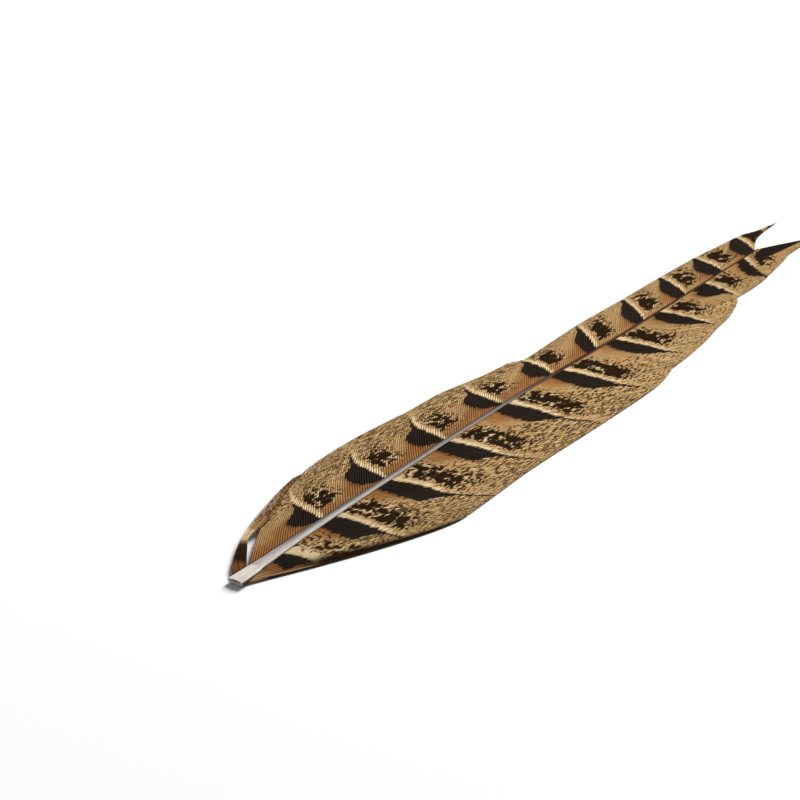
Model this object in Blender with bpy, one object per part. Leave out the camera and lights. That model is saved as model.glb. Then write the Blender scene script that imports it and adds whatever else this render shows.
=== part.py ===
"""A pheasant tail feather with its quill cut off, lying on a surface with its patterned back up.

The shaft runs along +X from the cut to the fork at the tip, +Y is the feather's narrow side and +Z is
up. The origin is below the middle of the feather, on the surface it lies on. Lengths in the tables are
in millimetres; everything is turned into metres where a mesh is made.
"""

import math

import bpy
import numpy as np

MM = 0.001

# The shaft, from the cut to the fork: (distance along the feather, value). Distances along it count from
# where the first barbs leave the quill.
CUT_AT = -0.8
SHAFT_LENGTH = 168.5
SHAFT_WIDTH = [(CUT_AT, 3.0), (5, 2.65), (10, 2.35), (20, 1.9), (30, 1.6), (45, 1.35), (60, 1.15),
               (80, 0.92), (120, 0.65), (150, 0.48), (168.5, 0.34)]
SHAFT_DEPTH = [(CUT_AT, 1.3), (6, 1.1), (12, 1.2), (20, 1.2), (30, 1.1), (45, 1.0), (60, 0.85), (80, 0.7),
               (120, 0.5), (150, 0.38), (168.5, 0.28)]
SHAFT_HEIGHT = [(CUT_AT, 0.66), (6, 0.79), (12, 1.0), (20, 1.22), (30, 1.4), (45, 1.58), (60, 1.74), (78, 1.75),
                (100, 1.2), (120, 0.7), (150, 0.63), (168.5, 0.53)]
SHAFT_RINGS = 44
SHAFT_SIDES = 14
SHAFT_SQUARENESS = 2.6
GROOVE_DEPTH = 0.12
CUT_SLANT = math.tan(math.radians(4))
CUT_BLEND = 7.0

# Both vanes are sheets with this thickness that start beside the shaft.
SHEET = 0.5
ROOT_GAP = 0.3
CROWN_RISE = [(0, 0.35), (12, 0.5), (60, 0.4), (120, 0.3), (160, 0.2), (175, 0.1)]
DROOP_POWER = 2.3
BARB_STEPS = 9

# One vane each: where its barbs leave the shaft, where their tips lie along the feather, how strongly
# they curl towards the tip, the vane's edge, and how far that edge stays off the surface.
RIGHT = {
    "name": "right_vane",
    "side": -1,
    "roots": (0.8, SHAFT_LENGTH),
    "barbs": 46,
    "tips": [(0.8, 36.5), (12, 43), (25, 50.5), (42, 66), (60, 84), (80, 103.5), (100, 121.5), (120, 139.5),
             (140, 157), (155, 171), (162, 177), (168.5, 182)],
    "curl": [(0.8, 1.25), (12, 1.3), (30, 1.5), (140, 1.5), (160, 1.25), (168.5, 1.05)],
    "edge": [(0, 1.5), (3, 2.8), (6, 4.1), (9, 5.6), (12, 7.0), (16, 8.8), (20, 10.5), (26, 12.9), (32, 14.9),
             (35, 15.9), (38.5, 16.5), (60, 15.9), (80, 16.4), (95, 16.6), (101, 16.4), (105, 15.8),
             (109, 14.8), (116, 14.4), (123, 13.7), (130, 12.5), (135, 11.9), (140, 10.6), (143, 9.6),
             (145.5, 8.4), (150, 8.6), (155, 8.5), (160, 7.9), (167, 6.9), (171.5, 6.1), (176, 6.1),
             (182, 6.0)],
    "lift": [(0, 0.0), (182, 0.0)],
}
LEFT = {
    "name": "left_vane",
    "side": 1,
    "roots": (4.6, SHAFT_LENGTH - 1),
    "barbs": 44,
    "tips": [(4.6, 36), (15, 41.5), (25, 49), (42, 65), (60, 82), (80, 101), (100, 120), (120, 139.5),
             (140, 159), (155, 173), (162, 178.5), (167.5, 185.5)],
    "curl": [(4.6, 1.69), (15, 1.5), (30, 1.5), (140, 1.55), (158, 1.8), (167.5, 3.0)],
    "edge": [(0, 1.3), (2, 3.2), (5, 5.1), (9, 7.3), (13, 8.9), (20, 10.3), (26, 11.6), (34, 13.2),
             (38, 14.1), (43, 14.45), (49, 14.4), (58, 13.85), (65, 13.4), (72, 13.4), (78, 12.7),
             (84, 11.8), (92, 11.1), (96, 9.6), (106, 9.9), (115, 10.1), (130, 9.6), (143, 9.3), (157, 8.8),
             (166, 7.9), (174, 7.1), (178.5, 5.6), (185.5, 4.35)],
    "lift": [(0, 0.2), (20, 0.8), (45, 1.0), (72, 0.6), (95, 0.0), (185.5, 0.0)],
}

# The loose lock of barbs on the narrow side, next to the cut: its outer and inner edges, as distances
# from the shaft's middle.
LOCK_OUTER = [(0.6, 1.4), (2, 3.2), (5, 5.1), (9, 7.3), (13, 8.9), (20, 11.0), (26, 12.5), (31, 13.5)]
LOCK_INNER = [(3.6, 1.4), (7.3, 4.3), (11.7, 7.2), (16, 9.1), (22, 11.3), (31, 13.4)]
LOCK_SHEET = 0.4
LOCK_RAISE = 0.15
LOCK_ROWS = 16
LOCK_STEPS = 4

# The middle of the feather's box: between the cut's upper rim and the tip, and between the vanes' edges.
CUT_OVERHANG = CUT_SLANT * SHAFT_DEPTH[0][1] / 2
MIDDLE_ALONG = (CUT_AT - CUT_OVERHANG + LEFT["edge"][-1][0]) / 2
MIDDLE_ACROSS = (max(out for _, out in LEFT["edge"]) - max(out for _, out in RIGHT["edge"])) / 2

MATERIALS = {
    "horn": ((0.42, 0.38, 0.34), 0.35),
    "barbs": ((0.33, 0.22, 0.11), 0.75),
}


def through(points, x):
    """The height at x of a smooth line through the points, which never swings past them."""
    at, value = np.array(points, float).T
    gap = np.diff(at)
    slope = np.diff(value) / gap
    tangent = np.concatenate([slope[:1], np.zeros(len(slope) - 1), slope[-1:]])
    before, after = slope[:-1], slope[1:]
    same = before * after > 0
    tangent[1:-1][same] = 2 * before[same] * after[same] / (before[same] + after[same])
    x = np.clip(x, at[0], at[-1])
    i = np.clip(np.searchsorted(at, x, side="right") - 1, 0, len(gap) - 1)
    t = (x - at[i]) / gap[i]
    rise = value[i] + t * t * (3 - 2 * t) * (value[i + 1] - value[i])
    return rise + gap[i] * t * (1 - t) * ((1 - t) * tangent[i] - t * tangent[i + 1])


def shaft_half_width(along):
    return through(SHAFT_WIDTH, along) / 2


def crown(along):
    """How high a vane is beside the shaft, and beyond the shaft's end at the fork."""
    return through(SHAFT_HEIGHT, along) + through(CROWN_RISE, along)


def vane_height(vane, along, out):
    """The height of the middle of a vane's sheet, at a distance along the feather and out from the shaft."""
    share = np.clip(out / through(vane["edge"], along), 0, 1)
    rim = SHEET / 2 + through(vane["lift"], along)
    return rim + np.maximum(crown(along) - rim, 0.1) * (1 - share**DROOP_POWER)


def barb_line(vane, root, u):
    """Points of the barb with this root, at shares u of its reach along the feather: (along, out)."""
    start = shaft_half_width(root) + ROOT_GAP
    tip = through(vane["tips"], root)
    reach = through(vane["edge"], tip) - start
    along = root + (tip - root) * u
    return along, start + reach * (1 - (1 - u) ** through(vane["curl"], root))


def material(name):
    colour, roughness = MATERIALS[name]
    made = bpy.data.materials.new(name)
    made.use_nodes = True
    shader = made.node_tree.nodes["Principled BSDF"]
    shader.inputs["Base Color"].default_value = (*colour, 1)
    shader.inputs["Roughness"].default_value = roughness
    return made


def node(name, points, faces, finish, frame):
    """A named, smooth-shaded object made from points in millimetres, in the feather's own frame."""
    mesh = bpy.data.meshes.new(name)
    mesh.from_pydata([tuple(point) for point in np.asarray(points, float) * MM], [], faces)
    mesh.materials.append(finish)
    mesh.shade_smooth()
    mesh.validate()
    made = bpy.data.objects.new(name, mesh)
    bpy.context.scene.collection.objects.link(made)
    made.parent = frame
    return made


def grid_faces(rows, columns, flip):
    """The quads of a grid of points, row after row, turned over where flip is set."""
    faces = []
    for row in range(rows - 1):
        for column in range(columns - 1):
            a = row * columns + column
            quad = (a, a + columns, a + columns + 1, a + 1)
            faces.append(quad[::-1] if flip else quad)
    return faces


def make_shaft(finish, frame):
    """The quill and shaft: one tapering rod with a shallow groove below and a slanting cut at its end."""
    turn = np.linspace(0, 2 * math.pi, SHAFT_SIDES, endpoint=False)
    across = np.sign(np.cos(turn)) * np.abs(np.cos(turn)) ** (2 / SHAFT_SQUARENESS)
    up = np.sign(np.sin(turn)) * np.abs(np.sin(turn)) ** (2 / SHAFT_SQUARENESS)
    up = np.where(up < 0, up * (1 - GROOVE_DEPTH * (1 - np.abs(across)) ** 2), up)
    points = []
    for share in np.linspace(0, 1, SHAFT_RINGS) ** 1.15:
        along = CUT_AT + share * (SHAFT_LENGTH - CUT_AT)
        half = float(shaft_half_width(along))
        rise = up * float(through(SHAFT_DEPTH, along)) / 2
        slant = CUT_SLANT * max(0.0, 1 - (along - CUT_AT) / CUT_BLEND)
        height = float(through(SHAFT_HEIGHT, along))
        points += list(zip(along - slant * rise, across * half, height + rise))
    faces = [tuple(range(SHAFT_SIDES - 1, -1, -1))]
    for ring in range(SHAFT_RINGS - 1):
        for side in range(SHAFT_SIDES):
            a = ring * SHAFT_SIDES + side
            b = ring * SHAFT_SIDES + (side + 1) % SHAFT_SIDES
            faces.append((a, b, b + SHAFT_SIDES, a + SHAFT_SIDES))
    last = (SHAFT_RINGS - 1) * SHAFT_SIDES
    faces.append(tuple(range(last, last + SHAFT_SIDES)))
    return node("shaft", points, faces, finish, frame)


def thicken(sheet, thickness):
    """Gives a sheet its thickness, half on each side."""
    solid = sheet.modifiers.new("Thickness", "SOLIDIFY")
    solid.thickness = thickness * MM
    solid.offset = 0
    return sheet


def make_vane(vane, finish, frame):
    """One vane, as the sheet that its barbs lie in: a row of points for each of some of the barbs."""
    u = np.linspace(0, 1, BARB_STEPS)
    points = []
    for root in np.linspace(*vane["roots"], vane["barbs"]):
        along, out = barb_line(vane, root, u)
        points += list(zip(along, vane["side"] * out, vane_height(vane, along, out)))
    faces = grid_faces(vane["barbs"], BARB_STEPS, vane["side"] < 0)
    return thicken(node(vane["name"], points, faces, finish, frame), SHEET)


def make_base_lock(finish, frame):
    """The lock of barbs next to the cut that has come unhooked from the narrow vane."""
    points = []
    for step in np.linspace(0, 1, LOCK_ROWS):
        ends = []
        for edge in (LOCK_INNER, LOCK_OUTER):
            along = edge[0][0] + (edge[-1][0] - edge[0][0]) * step
            ends.append((along, float(through(edge, along))))
        along, out = np.linspace(*ends, LOCK_STEPS).T
        points += list(zip(along, LEFT["side"] * out, vane_height(LEFT, along, out) + LOCK_RAISE))
    faces = grid_faces(LOCK_ROWS, LOCK_STEPS, False)
    return thicken(node("left_base_lock", points, faces, finish, frame), LOCK_SHEET)


def main():
    for old in list(bpy.data.objects):
        bpy.data.objects.remove(old)
    frame = bpy.data.objects.new("feather_frame", None)
    bpy.context.scene.collection.objects.link(frame)
    frame.location = (-MIDDLE_ALONG * MM, -MIDDLE_ACROSS * MM, 0)
    horn = material("horn")
    barbs = material("barbs")
    make_shaft(horn, frame)
    make_vane(RIGHT, barbs, frame)
    make_vane(LEFT, barbs, frame)
    make_base_lock(barbs, frame)


main()
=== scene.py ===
"""The looks of a pheasant tail feather: its shaft, and every barb of its two vanes and its loose lock.

The feather's own measures are in millimetres. Along is the distance from where the first barbs leave the
quill, out is the distance from the middle of the shaft, and u is the share of a barb's length from its root.
A table is a list of (distance, value). A fade is a pair of numbers: there is nothing of a thing at the
first, and all of it at the second.
"""

import math

import bpy
import numpy as np
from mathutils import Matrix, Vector


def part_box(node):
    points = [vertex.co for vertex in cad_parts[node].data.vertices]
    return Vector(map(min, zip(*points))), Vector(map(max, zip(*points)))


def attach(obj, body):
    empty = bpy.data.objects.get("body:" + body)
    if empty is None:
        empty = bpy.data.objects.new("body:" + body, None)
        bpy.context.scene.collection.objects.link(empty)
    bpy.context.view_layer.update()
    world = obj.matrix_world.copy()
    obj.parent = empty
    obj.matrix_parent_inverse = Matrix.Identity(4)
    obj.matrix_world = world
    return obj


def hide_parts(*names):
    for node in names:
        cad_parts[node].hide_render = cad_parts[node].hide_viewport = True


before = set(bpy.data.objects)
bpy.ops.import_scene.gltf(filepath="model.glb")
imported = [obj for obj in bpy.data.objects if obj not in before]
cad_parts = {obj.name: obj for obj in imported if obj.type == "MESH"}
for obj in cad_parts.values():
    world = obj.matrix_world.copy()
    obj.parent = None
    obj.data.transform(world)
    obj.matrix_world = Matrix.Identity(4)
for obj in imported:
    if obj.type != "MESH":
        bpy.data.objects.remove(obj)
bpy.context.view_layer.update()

MM = 0.001

# The shaft, from the cut to the fork. The tables go by distance along the feather.
CUT = -0.8
SHAFT_LENGTH = 168.5
SHAFT_WIDTH = [(CUT, 3.0), (5, 2.65), (10, 2.35), (20, 1.9), (30, 1.6), (45, 1.35), (60, 1.15),
               (80, 0.92), (120, 0.65), (150, 0.48), (168.5, 0.34)]
SHAFT_DEPTH = [(CUT, 1.3), (6, 1.1), (12, 1.2), (20, 1.2), (30, 1.1), (45, 1.0), (60, 0.85), (80, 0.7),
               (120, 0.5), (150, 0.38), (168.5, 0.28)]
SHAFT_HEIGHT = [(CUT, 0.66), (6, 0.79), (12, 1.0), (20, 1.22), (30, 1.4), (45, 1.58), (60, 1.74),
                (78, 1.75), (100, 1.2), (120, 0.7), (150, 0.63), (168.5, 0.53)]
SHAFT_RINGS = 420
RING_CROWDING = 1.3
SHAFT_SIDES = 40
SHAFT_SQUARENESS = 2.3
GROOVE_DEPTH = 0.12

# The quill's end: an almost square cut, and a sloping patch scraped on top of it.
CUT_SLANT = math.tan(math.radians(4))
CUT_BLEND = 7.0
SCRAPED_TO = 4.6
SCRAPED_DEPTH = 0.28
SCRAPED_TOP = (0.4, 0.9)

# The rings inside the cut end, from the pith's floor out to the wall: how wide and how deep each one is
# beside the rim, and how far in it lies. They stand a little above the quill's middle.
CUT_RINGS = [(0.4, 0.12, 0.45), (0.62, 0.25, 0.35), (0.7, 0.35, 0.0)]
CUT_RAISE = 0.2
PITH_RINGS = 2

# The shaft's place on its map: where it starts, and how far it goes round and along.
SHAFT_MAP_START = (0.02, 0.01)
SHAFT_MAP_SIZE = (0.9, 0.98)

# Both vanes are sheets of barbs that start beside the shaft, rise above it and droop to the surface.
RIM_HEIGHT = 0.2
CROWN_RISE = [(0, 0.2), (12, 0.35), (30, 0.28), (60, 0.25), (100, 0.2), (120, 0.15), (175, 0.05)]
LEAST_CROWN = 0.1
ROOT_INSET = 0.96
DROOP_POWER = 2.3
SLIT_SPREAD = 3.0

# One vane each. These tables go by the root of a barb along the feather:
#   tips: where the barb's tip lies along the feather
#   curl: how strongly the barb bends towards the feather's tip
# and these by distance along the feather:
#   edge: how far out the vane reaches
#   lift: how far its edge stays off the surface
#   blot_from, blot_to: how far out the blotches start and stop
#   pale_to: how far out the pale bands reach
# and these by distance out:
#   lean: how far a bar near the quill leans towards the tip
#   pale_width: how wide the pale band beyond a bar is
# width and far_width give a bar's width as a share of its full width, by distance out as a share of the
# distance of its shoulder, for bars near the quill and for bars far from it.
# A slit is the root it starts at, the share of the barbs where it opens, how far it opens, and how much
# one of its sides rides up.
# A bar is where its far edge meets the shaft, its width, how far out its shoulder is, and how strongly it
# leans towards the tip, like the bars near the quill and like the bars near the tip.
# The single numbers are how much there is of:
#   foot: a bar's narrowing where it meets the shaft
#   comb: the gaps between the barbs beside the shaft, in relief and with painted shade
#   warm_root: rufous at the barbs' roots
#   tip_blot: the blotch before the last bar
#   dark_base_and_shade: the dark margin and strands of the shortest barbs, next to the quill, partly painted
#       shade
#   far_shade: darkening towards the feather's tip
# and speckled_from is how far out the speckles start.
RIGHT = {
    "name": "right_vane",
    "side": -1,
    "roots": (0.8, SHAFT_LENGTH),
    "barbs": 256,
    "seed": 11,
    "tips": [(0.8, 36.5), (12, 43), (25, 50.5), (42, 66), (60, 84), (80, 103.5), (100, 121.5), (120, 139.5),
             (140, 157), (155, 171), (162, 177), (168.5, 182)],
    "curl": [(0.8, 1.25), (12, 1.3), (30, 1.5), (140, 1.5), (160, 1.25), (168.5, 1.05)],
    "edge": [(0, 1.5), (3, 2.8), (6, 4.1), (9, 5.6), (12, 7.0), (16, 8.8), (20, 10.5), (26, 12.9),
             (32, 14.9), (35, 15.9), (38.5, 16.5), (60, 15.9), (80, 16.4), (95, 16.6), (101, 16.4),
             (105, 15.8), (109, 14.8), (116, 14.4), (123, 13.7), (130, 12.5), (135, 11.9), (140, 10.6),
             (143, 9.6), (145.5, 8.4), (150, 8.6), (155, 8.5), (160, 7.9), (167, 6.9), (171.5, 6.1),
             (176, 6.1), (182, 6.0)],
    "lift": [(0, 0.0), (182, 0.0)],
    "slits": [(88.5, 0.45, 0.12, 0.1), (14.0, 0.6, 0.1, 0.1), (126.0, 0.6, 0.1, 0.08)],
    "bars": [(9.6, 3.1, 4.4, 1.4, 0), (24.0, 4.3, 7.6, 0.8, 0), (39.0, 4.0, 9.3, 1.3, 0),
             (56.3, 4.1, 8.3, 1.15, 0), (74.8, 4.1, 8.4, 1.0, 0), (93.2, 4.5, 9.2, 0.85, 0),
             (111.6, 3.9, 8.4, 1.0, 0), (128.3, 3.8, 7.6, 0.85, 0), (146.0, 5.0, 4.6, -0.3, 0),
             (162.3, 3.4, 6.0, -2.6, 0), (182.5, 15.0, 4.0, 0, 0)],
    "lean": [(0, 0), (6, 1.5), (10, 2.2), (12.5, 3.6), (16.5, 7)],
    "width": [(0, 0.95), (0.75, 1.25), (0.9, 1.2), (1.05, 0.7), (1.2, 0.27), (1.35, 0.17), (1.7, 0.14),
              (1.95, 0)],
    "far_width": [(0, 0.8), (0.45, 1.2), (0.8, 1.15), (1.05, 0.75), (1.25, 0.3), (1.45, 0.15), (1.7, 0)],
    "foot": 0.0,
    "pale_width": [(0, 2.0), (3, 1.3), (8, 1.05), (16, 0.8)],
    "pale_to": [(0, 30), (148, 30), (153, 3.5), (182, 3.5)],
    "blot_from": [(0, 0.8), (182, 0.8)],
    "blot_to": [(0, 11.0), (95, 10.5), (125, 7.5), (145, 5.2), (182, 4.5)],
    "tip_blot": 0.0,
    "speckled_from": 3.0,
    "warm_root": 0.25,
    "dark_base_and_shade": 1.0,
    "far_shade": 0.7,
    "comb": 0.3,
}
LEFT = {
    "name": "left_vane",
    "side": 1,
    "roots": (4.6, SHAFT_LENGTH - 1),
    "barbs": 248,
    "seed": 23,
    "tips": [(4.6, 36), (15, 41.5), (25, 49), (42, 65), (60, 82), (80, 101), (100, 120), (120, 139.5),
             (140, 159), (155, 173), (162, 178.5), (167.5, 185.5)],
    "curl": [(4.6, 1.69), (15, 1.5), (30, 1.5), (140, 1.55), (158, 1.8), (167.5, 3.0)],
    "edge": [(0, 1.3), (2, 3.2), (5, 5.1), (9, 7.3), (13, 8.9), (20, 10.3), (26, 11.6), (34, 13.2),
             (38, 14.1), (43, 14.45), (49, 14.4), (58, 13.85), (65, 13.4), (72, 13.4), (78, 12.7),
             (84, 11.8), (92, 11.1), (96, 9.6), (106, 9.9), (115, 10.1), (130, 9.6), (143, 9.3), (157, 8.8),
             (166, 7.9), (174, 7.1), (178.5, 5.6), (185.5, 4.35)],
    "lift": [(0, 0.2), (20, 0.8), (45, 1.0), (72, 0.6), (95, 0.0), (185.5, 0.0)],
    "slits": [(6.5, 0.35, 0.15, 0.15), (9.5, 0.45, 0.2, 0.12), (70.5, 0.7, 0.3, 0.12),
              (146.0, 0.85, 0.3, 0.05)],
    "bars": [(21.9, 4.4, 4.6, 1, 0), (39.0, 4.2, 6.2, 1, 0), (56.4, 4.4, 6.0, 1, 0),
             (74.0, 3.9, 6.2, 0.8, 0), (90.3, 4.1, 5.8, 0, 0.6), (105.3, 3.8, 6.2, 0, 1.3),
             (123.0, 4.1, 6.3, 0, 1.12), (138.9, 4.2, 6.3, 0, 0.85), (153.7, 4.4, 6.2, 0, 0.6),
             (167.3, 5.0, 6.0, 0, 0.95), (186.0, 4.6, 9.0, 0, 0)],
    "lean": [(0, 0), (4, 0.9), (7, 1.5), (9, 2.6), (12, 5.5)],
    "width": [(0, 0.8), (0.35, 1.05), (0.7, 1.25), (1.0, 1.2), (1.15, 0.8), (1.3, 0.36), (1.6, 0.18),
              (1.9, 0)],
    "far_width": [(0, 0.7), (0.35, 1.05), (0.75, 1.15), (1.0, 0.9), (1.25, 0.45), (1.5, 0.2), (1.7, 0)],
    "foot": 0.65,
    "pale_width": [(0, 0.5), (1.2, 0.9), (3, 1.3), (8, 1.0), (16, 0.8)],
    "pale_to": [(0, 30), (186, 30)],
    "blot_from": [(0, 3.0), (85, 2.8), (115, 1.7), (186, 1.7)],
    "blot_to": [(0, 8.0), (186, 7.5)],
    "tip_blot": 1.25,
    "speckled_from": 4.5,
    "warm_root": 0.75,
    "dark_base_and_shade": 0.0,
    "far_shade": -0.45,
    "comb": 0.72,
}

# The shape of a bar and of the pale band beyond it. LEAN_NEAR_TIP is how far a bar near the tip leans, by
# distance out. Fades called near and far go along the feather, and outer and BAR_FOOT go by distance out.
LEAN_NEAR_TIP = [(0, 0), (3, 2.4), (6, 4.4), (9, 6.3), (12, 8)]
BAR_NEAR_QUILL = (105, 80)
BAR_FOOT = (2.2, 0.4)
BAR_END = {"trim": 0.7, "width": (0.3, 0.0)}
BAND = {"near_wider": 0.9, "near": (20, 12), "far_narrower": 0.3, "far": (95, 125),
        "outer_loss": 0.6, "outer": (8, 14), "cut_off": 2.0, "past_its_reach": (0.0, 1.5)}
NOT_HERE = -9.0
NO_BAR_NEAR = 40.0

# Where the markings between the bars are. A fade called out goes by distance out, since by distance from
# the bar behind, until by distance to the next bar, and along by distance along the feather. Inner and
# outer go by distance out past where the vane's blotches start and stop, and MARGIN_SHARE goes by the
# share of the vane's reach.
BLOTCH = {"since_band": (1.0, 2.2), "since": (9.0, 6.2), "far_shorter": 0.8, "inner": (-1.0, 1.0),
          "outer": (1.5, -1.5), "near_share": 0.68, "along": (20, 26)}
CRUMB = {"since_band": (0.8, 1.8), "since": (10.5, 6.5), "far_shorter": 0.0, "inner": (-1.5, 0.5),
         "outer": (3.0, 0.0), "near_share": 0.6, "along": (19, 25)}
BLOTCH_OVER_BAND = 0.3
BLOTCH_SHORTER_ALONG = (60, 90)
BLOTCH_BOLDER = {"by": 0.22, "along": (70, 100)}
TIP_BLOT = {"start": (172.5, 174), "end": (179.5, 178.5)}
WARM = {"until": (5.5, 0.8), "out": (7.0, 2.0), "root_out": (4.5, 1.5), "quill": 0.35,
        "quill_along": (24, 12), "quill_out": (9, 5), "far_loss": 0.55, "far_along": (80, 118)}
# The soot is a dark brown before each bar; its base and base_along add painted shade over the wide vane's
# barbs next to the quill.
SOOT_AND_BASE_SHADE = {"until": (1.5, 0.0), "out": (9, 5), "base": 0.8, "base_along": (9.5, 6)}
FLECK = {"blotch": 0.5, "ground": 0.25, "out": (5, 9)}
SPECKLE = {"out": (0, 5), "by_band": 0.45, "since": (0.5, 4), "far_loss": 0.35, "along": (85, 120)}
COMB = {"out": (7.5, 3), "far_loss": 0.85, "along": (40, 85)}
MARGIN_SHARE = (0.4, 0.9)
FAR_SHADE_ALONG = (88, 125)

# The shortest barbs next to the quill: a dark strand along the margin and dark tips, partly their own dark
# brown and partly painted shade where the margin curls down to the surface, and a pale strand and pale feet
# beside it. Fades called roots go by the barb's root, the others by u.
DARK_STRAND = {"roots": (1.7, 1.3), "u": (0.0, 0.06)}
DARK_TIPS = {"roots": (7.0, 3.2), "u": (0.1, 0.3)}
PALE_STRAND = {"root": 1.7, "within": 0.35, "u": (0.32, 0.2)}
PALE_FEET = {"roots": (3.4, 2.2), "u": (0.09, 0.03)}

# The cross-section of one barb, with the barbules that reach for its neighbours: across in spacings of the
# barbs, up in millimetres, how much of it is the barb's own smooth ridge, and where it lies across the
# barb's strip of the map. Near its tip a barb tapers over a short length and gets narrower and flatter.
STATIONS = 44
BARB_ACROSS = np.array([-0.56, -0.16, 0.0, 0.16, 0.56, 0.0])
BARB_UP = np.array([0.01, 0.04, 0.07, 0.035, -0.04, -0.12])
BARB_RIDGE = np.array([0.0, 0.7, 1.0, 0.7, 0.0, 0.3])
BARB_MAP = np.array([0.05, 0.25, 0.45, 0.65, 0.85, 0.95])
BARB_MAP_ENDS = (0.005, 0.995)
RELIEF = 0.1
COMBED_RELIEF = 0.7
TIP_TAPER = 1.3
TIP_NARROWER = 0.75
TIP_FLATTER = 0.6

# How uneven the barbs are. A tuft is some barbs that bend together.
TIP_UNEVEN = 0.16
TUFT = 9
TUFT_BEND = 0.22
BARB_BEND = 0.05
BARB_UNEVEN = 0.012
MARKING_UNEVEN = 0.16

# The loose lock of barbs on the narrow side, next to the cut: its outer and inner edges, and how far it
# stands above the vane's own height. Its markings go along it only, and its barbs' shades are few and far
# apart, so that it reads as single strands.
LOCK_OUTER = [(0.6, 1.4), (2, 3.2), (5, 5.1), (9, 7.3), (13, 8.9), (20, 11.0), (26, 12.5), (31, 13.5)]
LOCK_INNER = [(3.6, 1.3), (5.3, 2.7), (8, 4.8), (10.8, 6.8), (12.5, 7.1), (16, 7.4), (22, 9.6), (28, 12),
              (33, 13.4)]
LOCK_RAISE = [(0, 0.1), (8, 0.15), (14, 0.32), (28, 0.3), (33, 0.15)]
LOCK_BARBS = 14
LOCK_SEED = 5
LOCK_TAPER = (0.95, 1)
LOCK_RELIEF = 0.9
LOCK_UNEVEN = 0.05
LOCK_MARKING_UNEVEN = 0.25
LOCK_SHADES = [-2.5, -0.5, 0.5, 1.0]
LOCK_PALE = {"along": 11.3, "half": 1.6}
LOCK_WARM = {"base": (8, 4), "end": 0.5, "end_along": (10, 20)}
LOCK_SOOT = {"amount": 0.8, "along": (7, 3)}
LOCK_DARK = {"amount": 0.96, "start": (3.2, 4.6), "end": (9.6, 8.6)}
LOCK_SPECKLED = (13, 18)
LOCK_COMB = 0.8
LOCK_WEAVE_ALONG = 1.4
LOCK_WEAVE_ACROSS = 6

# Colours, as a screen shows them. A vane's are its ground, its ground at the margin, the warm ground before
# a bar and beside the shaft, and the pale bands. The narrow vane is a little darker.
WIDE_VANE = {"tan": (191, 153, 102), "outer_tan": (190, 153, 102), "rufous": (168, 117, 67),
             "cream": (237, 211, 166)}
NARROW_VANE = {"tan": (180, 143, 95), "outer_tan": (174, 140, 94), "rufous": (152, 104, 62),
               "cream": (230, 203, 159)}
BAR_BLACK = (43, 35, 30)
# The soot brown also serves as painted shade next to the quill, and so does the base brown below.
SOOT_AND_SHADE_BROWN = (96, 58, 32)
SPECKLE_BROWN = (64, 39, 14)
BLOTCH_BROWN = (46, 32, 18)
BASE_BROWN_AND_SHADE = (44, 30, 18)
BASE_BUFF = (190, 148, 108)
# The shaft's horn where lit, then painted shade for its upper side and darker painted shade for its flanks.
QUILL_WHITE = (206, 199, 190)
SHAFT_GREY = (142, 127, 113)
SHAFT_BROWN = (78, 43, 10)
SHADED_GREY = (100, 97, 98)
SHADED_BROWN = (52, 29, 10)
SHADED_FLANK_GREY = (78, 60, 50)
SHADED_FLANK_BROWN = (60, 35, 16)
HORN_FLECK = (120, 112, 112)
SCRAPED_WHITE = (216, 210, 198)
CUT_WHITE = (226, 212, 202)
PITH_BROWN = (96, 76, 66)
FLOOR_WHITE = (243, 243, 243)

# How fine the patterns are, in cells a millimetre along each barb and across the barbs, or along and
# out, or along the shaft and round it.
CLOUDS = (0.16, 0.3, 1)
GRAIN = (0.9, 1.6, 1)
MOTTLE = (1.3, 2.4, 1)
SPECKLE_CELLS = (1.3, 0.42, 1)
BLOTCH_CELLS = (0.5, 0.56, 1)
CRUMB_CELLS = (1.05, 1.2, 1)
BLOTCH_EDGES = (1.1, 1.1, 1)
HORN_STREAKS = (0.35, 3.0, 3.0)
HORN_FLECKS = (1.6, 2.6, 2.6)

# How far from a cell's middle a speckle, blotch or crumb reaches where there is most of it, in cells, and
# how far a blotch is held back everywhere, so that none is left where there should be none.
SPECKLE_REACH = 0.38
BLOTCH_REACH = 0.68
BLOTCH_HOLD = 0.13
CRUMB_REACH = 0.4

# How strongly each colour covers what is below it, and how much painted shade darkens the gaps between the
# barbs.
FLECK_COVER = 0.8
SOOT_AND_SHADE_COVER = 0.55
SPECKLE_COVER = 0.88
BUFF_COVER = 0.8
HORN_FLECK_COVER = 0.4
PARTING_SHADE = 0.33
STRAND_CONTRAST = 0.11

# Lightness goes from the first number up by the second, with the noise.
MOTTLE_LIGHTNESS = (0.8, 0.4)
HORN_LIGHTNESS = (0.8, 0.32)

# Where the horn changes along the feather, where the painted shade on its upper side deepens away from the
# quill, and how far up the darker painted shade on its flanks reaches, as a share of its half depth.
TO_GREY = (8, 65)
TO_BROWN = (62, 95)
SHADOW_FROM_QUILL = (2, 22)
SHADOW_AT_QUILL = 0.35
SHADED_FLANK_TOP = 0.74

# Where the point at 0 along the feather stands in the row's frame, in metres.
SHAFT_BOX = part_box("shaft")
START_AT = np.array([SHAFT_BOX[1].x - SHAFT_LENGTH * MM, (SHAFT_BOX[0].y + SHAFT_BOX[1].y) / 2, 0])

# The camera stands behind the quill's end and to its right. It is placed from START_AT, in metres.
CAMERA_FROM_START = (-0.2496436, -0.2141720, 0.19201)
CAMERA_HEADING = (0.806816, 0.590802)
CAMERA_DOWN = math.radians(26)
LENS = 108.687
SENSOR = 36

FLOOR_HALF = 3.0
ROOM_LIGHT = 0.18
LAMP_AT = (2.1, 0.2, 1.36)
LAMP_SIZE = 1.1
LAMP_POWER = 126


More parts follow.
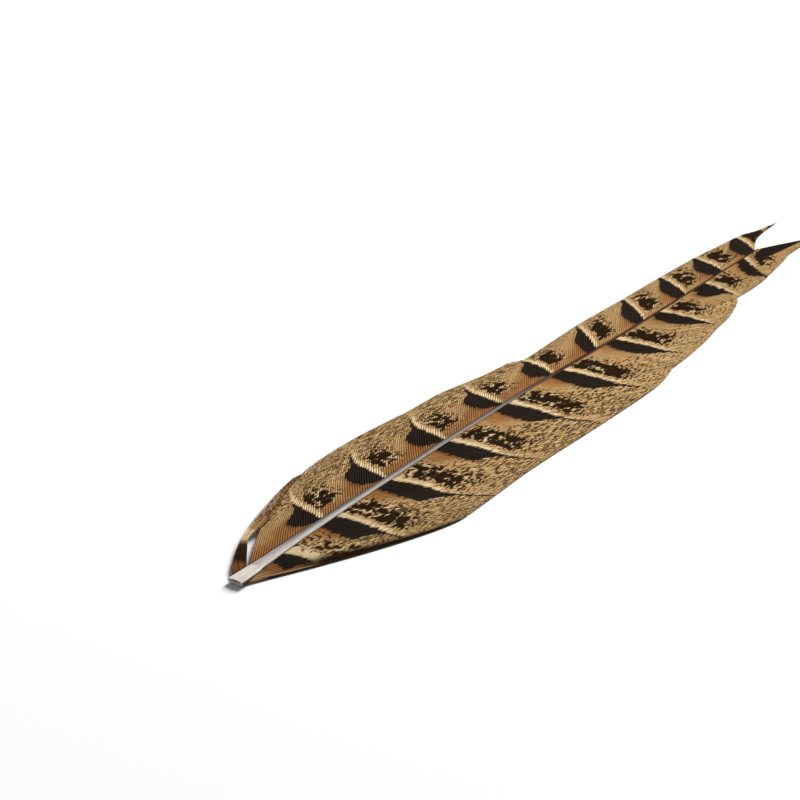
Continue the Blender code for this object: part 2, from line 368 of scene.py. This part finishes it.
def through(points, x):
    """The height at x of a smooth line through the points, which never swings past them."""
    at, value = np.array(points, float).T
    gap = np.diff(at)
    slope = np.diff(value) / gap
    tangent = np.concatenate([slope[:1], np.zeros(len(slope) - 1), slope[-1:]])
    before, after = slope[:-1], slope[1:]
    same = before * after > 0
    tangent[1:-1][same] = 2 * before[same] * after[same] / (before[same] + after[same])
    x = np.clip(x, at[0], at[-1])
    i = np.clip(np.searchsorted(at, x, side="right") - 1, 0, len(gap) - 1)
    t = (x - at[i]) / gap[i]
    rise = value[i] + t * t * (3 - 2 * t) * (value[i + 1] - value[i])
    return rise + gap[i] * t * (1 - t) * ((1 - t) * tangent[i] - t * tangent[i + 1])


def fade(none, full, x):
    """Rises smoothly from 0 where x is none to 1 where it is full."""
    t = np.clip((x - none) / (full - none), 0, 1)
    return t * t * (3 - 2 * t)


def shaft_half_width(along):
    return through(SHAFT_WIDTH, along) / 2


def vane_height(vane, along, out):
    """The height of the middle of a vane's barbs."""
    share = np.clip(out / through(vane["edge"], along), 0, 1)
    rim = RIM_HEIGHT + through(vane["lift"], along)
    crown = through(SHAFT_HEIGHT, along) + through(CROWN_RISE, along)
    return rim + np.maximum(crown - rim, LEAST_CROWN) * (1 - share**DROOP_POWER)


def barb_line(vane, root, u):
    """Points of the barb with this root, at shares u of its reach along the feather: (along, out)."""
    start = shaft_half_width(root) * ROOT_INSET
    tip = through(vane["tips"], root)
    reach = through(vane["edge"], tip) - start
    along = root + (tip - root) * u
    return along, start + reach * (1 - (1 - np.minimum(u, 1)) ** through(vane["curl"], root))


class Value:
    """A number that varies over a surface. Arithmetic on it adds the nodes that work it out."""

    def __init__(self, finish, socket):
        self.finish = finish
        self.socket = socket

    def maths(self, operation, *numbers):
        return self.finish.node("ShaderNodeMath", {"operation": operation}, dict(enumerate(numbers)))

    def __add__(self, other):
        return self.maths("ADD", self, other)

    def __sub__(self, other):
        return self.maths("SUBTRACT", self, other)

    def __rsub__(self, other):
        return self.maths("SUBTRACT", other, self)

    def __mul__(self, other):
        return self.maths("MULTIPLY", self, other)

    __radd__ = __add__
    __rmul__ = __mul__

    def most(self, other):
        return self.maths("MAXIMUM", self, other)

    def rise(self, start, end):
        """0 up to start, 1 from end on, and smooth between them."""
        values = {"Value": self, "From Min": start, "From Max": end}
        return self.finish.node("ShaderNodeMapRange", {"interpolation_type": "SMOOTHSTEP"}, values)

    def ragged(self, pattern, depth):
        """This number moved up and down by a pattern of noise, by half of depth each way."""
        return self + (pattern - 0.5) * depth


class Finish:
    """One material: a shader, and the nodes that feed it."""

    def __init__(self, name, **constants):
        self.material = bpy.data.materials.new(name)
        self.material.use_nodes = True
        self.tree = self.material.node_tree
        self.shader = self.tree.nodes["Principled BSDF"]
        for socket, value in constants.items():
            self.shader.inputs[socket.replace("_", " ")].default_value = value

    def node(self, kind, settings, values, output=0):
        made = self.tree.nodes.new(kind)
        for setting, value in settings.items():
            setattr(made, setting, value)
        for socket, value in values.items():
            if isinstance(value, Value):
                self.tree.links.new(value.socket, made.inputs[socket])
            else:
                made.inputs[socket].default_value = value
        return Value(self, made.outputs[output])

    def read(self, attribute):
        return self.node("ShaderNodeAttribute", {"attribute_name": attribute}, {}, 2)

    def read_place(self, attribute, scale):
        place = self.node("ShaderNodeAttribute", {"attribute_name": attribute}, {}, 1)
        return self.node("ShaderNodeVectorMath", {"operation": "MULTIPLY"}, {0: place, 1: scale})

    def noise(self, place, detail):
        values = {"Vector": place, "Scale": 1.0, "Detail": detail}
        return self.node("ShaderNodeTexNoise", {}, values)

    def dots(self, place):
        """How far a point is from the nearest of many scattered middles."""
        values = {"Vector": place, "Scale": 1.0}
        return self.node("ShaderNodeTexVoronoi", {"voronoi_dimensions": "2D"}, values)

    def blend(self, amount, first, second):
        values = {0: amount, 6: colour(first), 7: colour(second)}
        return self.node("ShaderNodeMix", {"data_type": "RGBA"}, values, 2)

    def shade(self, base, amount):
        """The base colour times a number."""
        return self.node("ShaderNodeVectorMath", {"operation": "SCALE"}, {0: base, "Scale": amount})

    def feed(self, socket, value):
        self.tree.links.new(value.socket, self.shader.inputs[socket])

    def bump(self, height, strength, distance):
        values = {"Strength": strength, "Distance": distance, "Height": height}
        self.feed("Normal", self.node("ShaderNodeBump", {}, values))


def colour(value):
    """A screen colour's three numbers, 0 to 255, as a shader takes them. A value passes unchanged."""
    if isinstance(value, Value):
        return value
    share = np.array(value) / 255
    linear = np.where(share <= 0.04045, share / 12.92, ((share + 0.055) / 1.055) ** 2.4)
    return (*linear, 1)


def barb_ground(finish, clouds, grain, tan, outer_tan, rufous, cream):
    """The barbs' colour between their dark markings: tan, rufous and soot before each bar, cream beyond it,
    and painted shade by the quill.
    """
    base = finish.blend(finish.read("margin").ragged(clouds, depth=0.8), tan, outer_tan)
    base = finish.blend(finish.read("warm").ragged(clouds, depth=0.6).rise(0.05, 0.95), base, rufous)
    mottle = finish.noise(finish.read_place("weave", MOTTLE), detail=2)
    fleck = finish.read("fleck").ragged(mottle, depth=1.6).rise(0.15, 0.8)
    base = finish.blend(fleck * FLECK_COVER, base, cream)
    base = finish.blend(finish.read("pale").ragged(grain, depth=2.2).rise(-0.35, 0.35), base, cream)
    darkest, more = MOTTLE_LIGHTNESS
    base = finish.shade(base, darkest + mottle * more)
    # Soot before each bar, and painted shade next to the quill.
    return finish.blend(finish.read("soot_and_base_shade") * SOOT_AND_SHADE_COVER, base, SOOT_AND_SHADE_BROWN)


def barb_speckles(finish, grain, base):
    """Small dots over the ground, larger where the barbs ask for more of them."""
    dots = finish.dots(finish.read_place("weave", SPECKLE_CELLS))
    speckle = (finish.read("speckle") * SPECKLE_REACH).ragged(grain, depth=0.16) - dots
    return finish.blend(speckle.rise(-0.05, 0.05) * SPECKLE_COVER, base, SPECKLE_BROWN)


def barb_blotches(finish, base):
    """Large dark chunks with ragged edges, and crumbs among and around them."""
    large = finish.dots(finish.read_place("blots", BLOTCH_CELLS))
    small = finish.dots(finish.read_place("blots", CRUMB_CELLS))
    edges = finish.noise(finish.read_place("blots", BLOTCH_EDGES), detail=3)
    chunk = (finish.read("blot") * BLOTCH_REACH).ragged(edges, depth=0.9) - BLOTCH_HOLD - large
    crumb = (finish.read("crumb") * CRUMB_REACH).ragged(edges, depth=0.8) - small
    return finish.blend(chunk.most(crumb).rise(-0.03, 0.06), base, BLOTCH_BROWN)


def barb_finish(name, colours):
    """Barbs with the vane's markings drawn over each other from the ground to the bars; painted shade
    darkens their gaps and the margin next to the quill.
    """
    finish = Finish(name, Roughness=0.75, Specular_IOR_Level=0.0)
    clouds = finish.noise(finish.read_place("weave", CLOUDS), detail=3)
    grain = finish.noise(finish.read_place("weave", GRAIN), detail=3)
    base = barb_ground(finish, clouds, grain, **colours)
    base = barb_speckles(finish, grain, base)
    base = barb_blotches(finish, base)
    base = finish.blend(finish.read("bar").ragged(grain, depth=0.7).rise(-0.1, 0.15), base, BAR_BLACK)
    # The shortest barbs' dark margin and tips: their own dark brown, partly painted shade where the margin
    # curls down.
    base = finish.blend(finish.read("dark_base_and_shade"), base, BASE_BROWN_AND_SHADE)
    base = finish.blend(finish.read("pale_base") * BUFF_COVER, base, BASE_BUFF)
    # Painted shade in the gaps between the barbs, and each barb's own random tone.
    painted_gap_shade = finish.read("comb") * (1 - finish.read("ridge")) * PARTING_SHADE
    gap_shade_and_tone = (1.0 - painted_gap_shade).ragged(finish.read("strand"), depth=STRAND_CONTRAST)
    finish.feed("Base Color", finish.shade(base, gap_shade_and_tone))
    return finish.material


def horn_finish():
    """Quill and shaft: grey horn with painted shade at its edges, brown towards the tip, scraped white by
    the cut.
    """
    finish = Finish("shaft_horn", Specular_IOR_Level=0.03)
    streak = finish.noise(finish.read_place("grain", HORN_STREAKS), detail=3)
    flecks = finish.noise(finish.read_place("grain", HORN_FLECKS), detail=2)
    along = finish.read("along")
    up = finish.read("up")
    far = along.rise(*TO_BROWN)
    light = finish.blend(along.rise(*TO_GREY), QUILL_WHITE, SHAFT_GREY)
    light = finish.blend(far, light, SHAFT_BROWN)
    shaded = finish.blend(far, SHADED_GREY, SHADED_BROWN)
    shaded_flank = finish.blend(far, SHADED_FLANK_GREY, SHADED_FLANK_BROWN)
    # Painted shade: the shaft's upper side darker, more so away from the quill, and its lower flanks darker
    # still.
    shadow = finish.read("across").ragged(streak, depth=0.6).rise(-0.6, 0.35)
    deepened = SHADOW_AT_QUILL + along.rise(*SHADOW_FROM_QUILL) * (1 - SHADOW_AT_QUILL)
    base = finish.blend(shadow * deepened, light, shaded)
    base = finish.blend((SHADED_FLANK_TOP - up).rise(0.0, 0.22), base, shaded_flank)
    base = finish.blend(flecks.rise(0.58, 0.7) * HORN_FLECK_COVER, base, HORN_FLECK)
    scraped = (SCRAPED_TO - along).ragged(flecks, depth=2.2).ragged(streak, depth=1.0).rise(0.0, 0.5)
    base = finish.blend(scraped * up.rise(0.3, 0.6), base, SCRAPED_WHITE)
    base = finish.blend(finish.read("cut"), base, CUT_WHITE)
    base = finish.blend(finish.read("pith"), base, PITH_BROWN)
    darkest, more = HORN_LIGHTNESS
    finish.feed("Base Color", finish.shade(base, darkest + streak.rise(0.3, 0.7) * more))
    finish.feed("Roughness", 0.4 + far * 0.4)
    finish.bump(streak + flecks, strength=0.25, distance=0.1 * MM)
    return finish.material


def floor_finish():
    finish = Finish("pale_floor", Base_Color=colour(FLOOR_WHITE), Roughness=0.9, Specular_IOR_Level=0.1)
    return finish.material


def add_object(name, data):
    made = bpy.data.objects.new(name, data)
    bpy.context.scene.collection.objects.link(made)
    return made


def make_piece(name, points, faces, finish, values, places, uv):
    """A named mesh in the row's frame, from points in millimetres in the feather's own frame."""
    mesh = bpy.data.meshes.new(name)
    mesh.from_pydata(points.reshape(-1, 3) * MM + START_AT, [], faces)
    mesh.materials.append(finish)
    mesh.shade_smooth()
    for key, numbers in values.items():
        layer = mesh.attributes.new(key, "FLOAT", "POINT")
        layer.data.foreach_set("value", numbers.astype(np.float32).ravel())
    for key, vectors in places.items():
        layer = mesh.attributes.new(key, "FLOAT_VECTOR", "POINT")
        layer.data.foreach_set("vector", vectors.astype(np.float32).ravel())
    corners = np.empty(len(mesh.loops), np.int32)
    mesh.loops.foreach_get("vertex_index", corners)
    corner_uv = uv.reshape(-1, 2)[corners].astype(np.float32)
    mesh.uv_layers.new(name="OFBake").data.foreach_set("uv", corner_uv.ravel())
    return add_object(name, mesh)


def bars_at(vane, out):
    """For every bar of the vane: where its far edge is at these distances out, and its width there."""
    for far_edge, width, shoulder, lean, tip_lean in vane["bars"]:
        edge = far_edge + lean * through(vane["lean"], out) + tip_lean * through(LEAN_NEAR_TIP, out)
        near = fade(*BAR_NEAR_QUILL, far_edge)
        share = out / shoulder
        shape = near * through(vane["width"], share) + (1 - near) * through(vane["far_width"], share)
        yield edge, width * shape * (1 - vane["foot"] * fade(*BAR_FOOT, out) * near)


def bars_and_bands(vane, along, out):
    """How far inside a bar and a pale band points are, and how far past one bar and before the next."""
    bar = np.full(along.shape, NOT_HERE)
    pale = np.full(along.shape, NOT_HERE)
    since = np.full(along.shape, NO_BAR_NEAR)
    until = np.full(along.shape, NO_BAR_NEAR)
    pale_width = through(vane["pale_width"], out)
    for edge, width in bars_at(vane, out):
        trim = BAR_END["trim"] * fade(*BAR_END["width"], width)
        wider = BAND["near_wider"] * fade(*BAND["near"], edge)
        narrower = BAND["far_narrower"] * fade(*BAND["far"], edge)
        band = pale_width * (1 + wider - narrower)
        bar = np.maximum(bar, width / 2 - np.abs(along - edge + width / 2) - trim)
        pale = np.maximum(pale, band / 2 - np.abs(along - edge - band / 2))
        since = np.where(along >= edge, np.minimum(since, along - edge), since)
        until = np.where(along < edge, np.minimum(until, edge - width - along), until)
    pale = pale - BAND["outer_loss"] * fade(*BAND["outer"], out)
    past = out - through(vane["pale_to"], along)
    return bar, pale - BAND["cut_off"] * fade(*BAND["past_its_reach"], past), since, until


def blotches(vane, kind, along, out, since):
    """How much there is of the large blotches or of the crumbs around them, beyond each pale band."""
    since_band = since - BLOTCH_OVER_BAND * through(vane["pale_width"], out)
    shorter = kind["far_shorter"] * fade(*BLOTCH_SHORTER_ALONG, along)
    amount = fade(*kind["since_band"], since_band) * fade(*kind["since"], since + shorter)
    amount = amount * fade(*kind["inner"], out - through(vane["blot_from"], along))
    amount = amount * fade(*kind["outer"], out - through(vane["blot_to"], along))
    return amount * (kind["near_share"] + (1 - kind["near_share"]) * fade(*kind["along"], along))


def warmth(vane, along, out, until):
    """Rufous before each bar, at the barbs' roots, and on the first barbs next to the quill."""
    warm = fade(*WARM["until"], until) * fade(*WARM["out"], out)
    warm = warm + vane["warm_root"] * fade(*WARM["root_out"], out)
    warm = warm + WARM["quill"] * fade(*WARM["quill_along"], along) * fade(*WARM["quill_out"], out)
    return warm * (1 - WARM["far_loss"] * fade(*WARM["far_along"], along))


def speckles(vane, along, out, since):
    """How many speckles there are: fewest beside the shaft, on the pale bands and near the tip."""
    amount = fade(*SPECKLE["out"], out - vane["speckled_from"])
    amount = amount * (SPECKLE["by_band"] + (1 - SPECKLE["by_band"]) * fade(*SPECKLE["since"], since))
    return amount * (1 - SPECKLE["far_loss"] * fade(*SPECKLE["along"], along))


def comb_at(vane, along, out):
    """How clearly the barbs stand apart: most of all beside the shaft, near the quill."""
    return vane["comb"] * fade(*COMB["out"], out) * (1 - COMB["far_loss"] * fade(*COMB["along"], along))


def markings(vane, along, out):
    """How much of each marking there is at points of the barbs."""
    bar, pale, since, until = bars_and_bands(vane, along, out)
    blotch = blotches(vane, BLOTCH, along, out, since)
    bolder = 1 + BLOTCH_BOLDER["by"] * fade(*BLOTCH_BOLDER["along"], along)
    tip = vane["tip_blot"] * fade(*TIP_BLOT["start"], along) * fade(*TIP_BLOT["end"], along)
    # Painted shade over the wide vane's barbs next to the quill, drawn with the soot.
    base_soot_and_shade = vane["dark_base_and_shade"] * SOOT_AND_BASE_SHADE["base"] * fade(*SOOT_AND_BASE_SHADE["base_along"], along)
    return {
        "bar": bar,
        "pale": pale,
        "blot": np.maximum(blotch * bolder, tip),
        "crumb": np.maximum(blotches(vane, CRUMB, along, out, since), tip),
        "warm": warmth(vane, along, out, until),
        "soot_and_base_shade": np.maximum(fade(*SOOT_AND_BASE_SHADE["until"], until) * fade(*SOOT_AND_BASE_SHADE["out"], out), base_soot_and_shade),
        "fleck": np.maximum(FLECK["blotch"] * blotch, FLECK["ground"] * fade(*FLECK["out"], out)),
        "speckle": speckles(vane, along, out, since),
        "comb": comb_at(vane, along, out),
        "margin": fade(*MARGIN_SHARE, out / through(vane["edge"], along)),
    }


def base_strands(vane, root, u):
    """How much of the dark strands (partly painted shade) and the pale ones there is on the barbs next to
    the quill.
    """
    dark_strand = fade(*DARK_STRAND["roots"], root) * fade(*DARK_STRAND["u"], u)
    dark_tips = fade(*DARK_TIPS["roots"], root) * fade(*DARK_TIPS["u"], u)
    beside = np.abs(root - PALE_STRAND["root"]) < PALE_STRAND["within"]
    pale_feet = fade(*PALE_FEET["roots"], root) * fade(*PALE_FEET["u"], u)
    return {
        "dark_base_and_shade": vane["dark_base_and_shade"] * np.maximum(dark_strand, dark_tips),
        "pale_base": vane["dark_base_and_shade"] * np.maximum(beside * fade(*PALE_STRAND["u"], u), pale_feet),
    }


def lock_markings(along):
    """The lock's markings go along it only: dark, then pale, then speckled."""
    nothing = np.zeros(along.shape)
    warm = fade(*LOCK_WARM["base"], along) + LOCK_WARM["end"] * fade(*LOCK_WARM["end_along"], along)
    return {
        "bar": nothing + NOT_HERE,
        "pale": LOCK_PALE["half"] - np.abs(along - LOCK_PALE["along"]),
        "blot": nothing,
        "crumb": nothing,
        "warm": warm,
        "soot_and_base_shade": LOCK_SOOT["amount"] * fade(*LOCK_SOOT["along"], along),
        "fleck": nothing,
        "speckle": fade(*LOCK_SPECKLED, along),
        "comb": nothing + LOCK_COMB,
        "margin": nothing,
        "dark_base_and_shade": LOCK_DARK["amount"] * fade(*LOCK_DARK["start"], along) * fade(*LOCK_DARK["end"], along),
        "pale_base": nothing,
    }


def slits_at(vane, root, u):
    """How far the slits push a barb aside, and how far they lift it."""
    push = np.zeros(np.broadcast_shapes(root.shape, u.shape))
    lift = np.zeros(push.shape)
    for at, opens, gap, step in vane["slits"]:
        near = fade(opens, 1, u) * np.exp(-np.abs(root - at) / SLIT_SPREAD)
        push += np.sign(root - at) * gap / 2 * near
        lift += step * near * (root > at)
    return push, lift


def barb_faces(barbs, flip):
    """Faces of closed barbs, each a tube of stations of BARB_ACROSS's points with an end at root and tip."""
    sides = len(BARB_ACROSS)
    station, side = np.meshgrid(np.arange(STATIONS - 1), np.arange(sides), indexing="ij")
    here = station * sides + side
    beside = station * sides + (side + 1) % sides
    quads = np.stack([here, beside, beside + sides, here + sides], -1).reshape(-1, 4)
    first = np.arange(sides)[::-1]
    last = (STATIONS - 1) * sides + np.arange(sides)
    if flip:
        quads, first, last = quads[:, ::-1], first[::-1], last[::-1]
    faces = []
    for barb in range(barbs):
        start = barb * STATIONS * sides
        faces += (quads + start).tolist()
        faces += [(first + start).tolist(), (last + start).tolist()]
    return faces


def barb_uv(barbs):
    """A strip of the map for each barb, most of it for the five points of its upper side."""
    u = (np.arange(barbs)[:, None, None] + BARB_MAP) / barbs
    v = np.linspace(*BARB_MAP_ENDS, STATIONS)[None, :, None]
    return np.stack(np.broadcast_arrays(u, v), -1)


def make_barbs(name, points, flip, finish, values, weave, blots):
    """A piece of closed barbs. Its values and places may be given once for a whole barb."""
    shape = points.shape[:-1]
    values = {key: np.broadcast_to(numbers, shape) for key, numbers in values.items()}
    places = {key: np.stack([np.broadcast_to(part, shape) for part in place], -1)
              for key, place in (("weave", weave), ("blots", blots))}
    faces = barb_faces(shape[0], flip)
    return make_piece(name, points, faces, finish, values, places, barb_uv(shape[0]))


def make_vane(vane, finish):
    """A vane, barb by barb. Its arrays go by barb, by station along the barb, and by point round it."""
    chance = np.random.default_rng(vane["seed"])
    barbs = vane["barbs"]
    root = np.linspace(*vane["roots"], barbs)[:, None, None]
    spacing = (vane["roots"][1] - vane["roots"][0]) / (barbs - 1)
    tip_along, tip_out = barb_line(vane, root, np.ones(1))
    length = np.hypot(tip_along - root, tip_out)
    longer = chance.normal(0, TIP_UNEVEN, root.shape)
    u = np.linspace(0, 1, STATIONS)[None, :, None] * (1 + longer / length)
    tufts = chance.normal(0, TUFT_BEND, barbs // TUFT + 2)
    bend = np.interp(np.arange(barbs), np.arange(0, barbs + TUFT, TUFT), tufts)[:, None, None]
    bend = bend + chance.normal(0, BARB_BEND, root.shape)
    push, lift = slits_at(vane, root, u)
    middle = root + bend * u**2 + push
    taper = 1 - TIP_NARROWER * fade(1 - TIP_TAPER / length, 1, u)
    along, out = barb_line(vane, middle + spacing * BARB_ACROSS * taper, u)
    relief = (RELIEF + COMBED_RELIEF * comb_at(vane, along, out)) * (1 - TIP_FLATTER * (1 - taper))
    uneven = chance.normal(0, BARB_UNEVEN, root.shape) * u
    height = vane_height(vane, along, out) + BARB_UP * relief + uneven + lift
    points = np.stack([along, vane["side"] * out, height], -1)
    marked = u + chance.normal(0, MARKING_UNEVEN, root.shape) / length
    marked_along, marked_out = barb_line(vane, middle, marked)
    values = markings(vane, marked_along, marked_out) | base_strands(vane, root, u)
    far_shade = vane["far_shade"] * fade(*FAR_SHADE_ALONG, marked_along)
    values["strand"] = chance.random(root.shape) - far_shade
    values["ridge"] = BARB_RIDGE
    weave = (marked * length + vane["seed"], middle, 0.0)
    blots = (marked_along, marked_out + vane["seed"], 0.0)
    return make_barbs(vane["name"] + "_barbs", points, vane["side"] > 0, finish, values, weave, blots)


def make_lock(finish):
    """The loose lock: barbs that run side by side from its inner edge to its outer edge."""
    chance = np.random.default_rng(LOCK_SEED)
    barb = np.linspace(0, 1, LOCK_BARBS)[:, None, None]
    u = np.linspace(0, 1, STATIONS)[None, :, None]
    taper = 1 - TIP_NARROWER * fade(*LOCK_TAPER, u)
    spread = np.clip(barb + BARB_ACROSS / (LOCK_BARBS - 1) * taper, 0, 1)
    inner, outer = (edge[0][0] + (edge[-1][0] - edge[0][0]) * u for edge in (LOCK_INNER, LOCK_OUTER))
    along = inner * (1 - spread) + outer * spread
    out = through(LOCK_INNER, inner) * (1 - spread) + through(LOCK_OUTER, outer) * spread
    uneven = chance.normal(0, LOCK_UNEVEN, barb.shape) * u
    height = vane_height(LEFT, along, out) + through(LOCK_RAISE, along) + BARB_UP * LOCK_RELIEF + uneven
    points = np.stack([along, LEFT["side"] * out, height], -1)
    moved = chance.normal(0, LOCK_MARKING_UNEVEN, barb.shape)
    values = lock_markings(along + moved)
    values["strand"] = chance.choice(LOCK_SHADES, barb.shape)
    values["ridge"] = BARB_RIDGE
    run, row = along * LOCK_WEAVE_ALONG + moved, barb * LOCK_WEAVE_ACROSS
    weave, blots = (run, row, 3.0), (run, row, 9.0)
    return make_barbs("left_base_lock_barbs", points, False, finish, values, weave, blots)


def make_shaft(finish):
    """The quill and shaft, with the scraped patch, the groove below, and the cut with its pith."""
    turn = np.linspace(0, 2 * math.pi, SHAFT_SIDES, endpoint=False)
    across = np.sign(np.cos(turn)) * np.abs(np.cos(turn)) ** (2 / SHAFT_SQUARENESS)
    up = np.sign(np.sin(turn)) * np.abs(np.sin(turn)) ** (2 / SHAFT_SQUARENESS)
    up = np.where(up < 0, up * (1 - GROOVE_DEPTH * (1 - np.abs(across)) ** 2), up)
    along = CUT + (np.linspace(0, 1, SHAFT_RINGS) ** RING_CROWDING * (SHAFT_LENGTH - CUT))[:, None]
    left_to_scrape = np.clip(1 - (along - CUT) / (SCRAPED_TO - CUT), 0, 1)
    rise = (up - SCRAPED_DEPTH * left_to_scrape * fade(*SCRAPED_TOP, up)) * through(SHAFT_DEPTH, along) / 2
    slant = CUT_SLANT * np.maximum(0, 1 - (along - CUT) / CUT_BLEND)
    height = through(SHAFT_HEIGHT, along) + rise
    skin = np.stack([along - slant * rise, across * shaft_half_width(along), height], -1)
    middle, rim = np.array([CUT, 0, SHAFT_HEIGHT[0][1]]), skin[0]
    cut_end = [middle + (rim - middle) * (1, wide, deep) + (inward, 0, CUT_RAISE)
               for wide, deep, inward in CUT_RINGS]
    cut_end.append(rim)
    points = np.concatenate([cut_end, skin], 0)
    rings = len(points)
    faces = [tuple(range(SHAFT_SIDES - 1, -1, -1))]
    for start in range(0, (rings - 1) * SHAFT_SIDES, SHAFT_SIDES):
        for side in range(SHAFT_SIDES):
            a, b = start + side, start + (side + 1) % SHAFT_SIDES
            faces.append((a, b, b + SHAFT_SIDES, a + SHAFT_SIDES))
    last = (rings - 1) * SHAFT_SIDES
    faces.append(tuple(range(last, last + SHAFT_SIDES)))
    ring, turn = np.broadcast_arrays(np.arange(rings)[:, None], turn)
    distance = np.concatenate([np.full(len(cut_end), CUT), along[:, 0]])[:, None] + 0 * turn
    values = {
        "along": distance,
        "across": across + 0 * ring,
        "up": up + 0 * ring,
        "cut": (ring < len(cut_end)).astype(float),
        "pith": (ring < PITH_RINGS).astype(float),
    }
    places = {"grain": np.stack([distance, np.cos(turn), np.sin(turn)], -1)}
    uv = np.stack([turn / (2 * math.pi), ring / rings], -1) * SHAFT_MAP_SIZE + SHAFT_MAP_START
    return make_piece("shaft_horn", points, faces, finish, values, places, uv)


def make_feather():
    wide = barb_finish("wide_vane_barbs", WIDE_VANE)
    narrow = barb_finish("narrow_vane_barbs", NARROW_VANE)
    made = [
        (make_shaft(horn_finish()), "shaft", "horn"),
        (make_vane(RIGHT, wide), "right_vane", "barbs"),
        (make_vane(LEFT, narrow), "left_vane", "barbs"),
        (make_lock(narrow), "left_base_lock", "barbs"),
    ]
    for piece, node, slot in made:
        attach(piece, "root")
        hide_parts(node)


def make_floor():
    corners = [(x * FLOOR_HALF, y * FLOOR_HALF, 0) for x, y in ((-1, -1), (1, -1), (1, 1), (-1, 1))]
    mesh = bpy.data.meshes.new("floor")
    mesh.from_pydata(corners, [], [(0, 1, 2, 3)])
    mesh.materials.append(floor_finish())
    floor = add_object("floor", mesh)


def make_camera():
    """Low behind the quill's end and to its right, looking along the feather and down on it."""
    data = bpy.data.cameras.new("camera")
    data.lens = LENS
    data.sensor_width = SENSOR
    camera = add_object("camera", data)
    camera.location = Vector(START_AT) + Vector(CAMERA_FROM_START)
    ahead, left = (part * math.cos(CAMERA_DOWN) for part in CAMERA_HEADING)
    camera.rotation_euler = Vector((ahead, left, -math.sin(CAMERA_DOWN))).to_track_quat("-Z", "Y").to_euler()
    bpy.context.scene.camera = camera


def make_light():
    """A white room, and one broad lamp above and beyond the feather's tip."""
    bpy.context.scene.view_settings.view_transform = "Standard"
    world = bpy.data.worlds.new("white_room")
    world.use_nodes = True
    background = world.node_tree.nodes["Background"]
    background.inputs["Color"].default_value = (1, 1, 1, 1)
    background.inputs["Strength"].default_value = ROOM_LIGHT
    bpy.context.scene.world = world
    data = bpy.data.lights.new("broad_lamp", "AREA")
    data.size = LAMP_SIZE
    data.energy = LAMP_POWER
    lamp = add_object("broad_lamp", data)
    lamp.location = Vector(LAMP_AT)
    lamp.rotation_euler = (-lamp.location).to_track_quat("-Z", "Y").to_euler()


make_feather()
make_floor()
make_camera()
make_light()
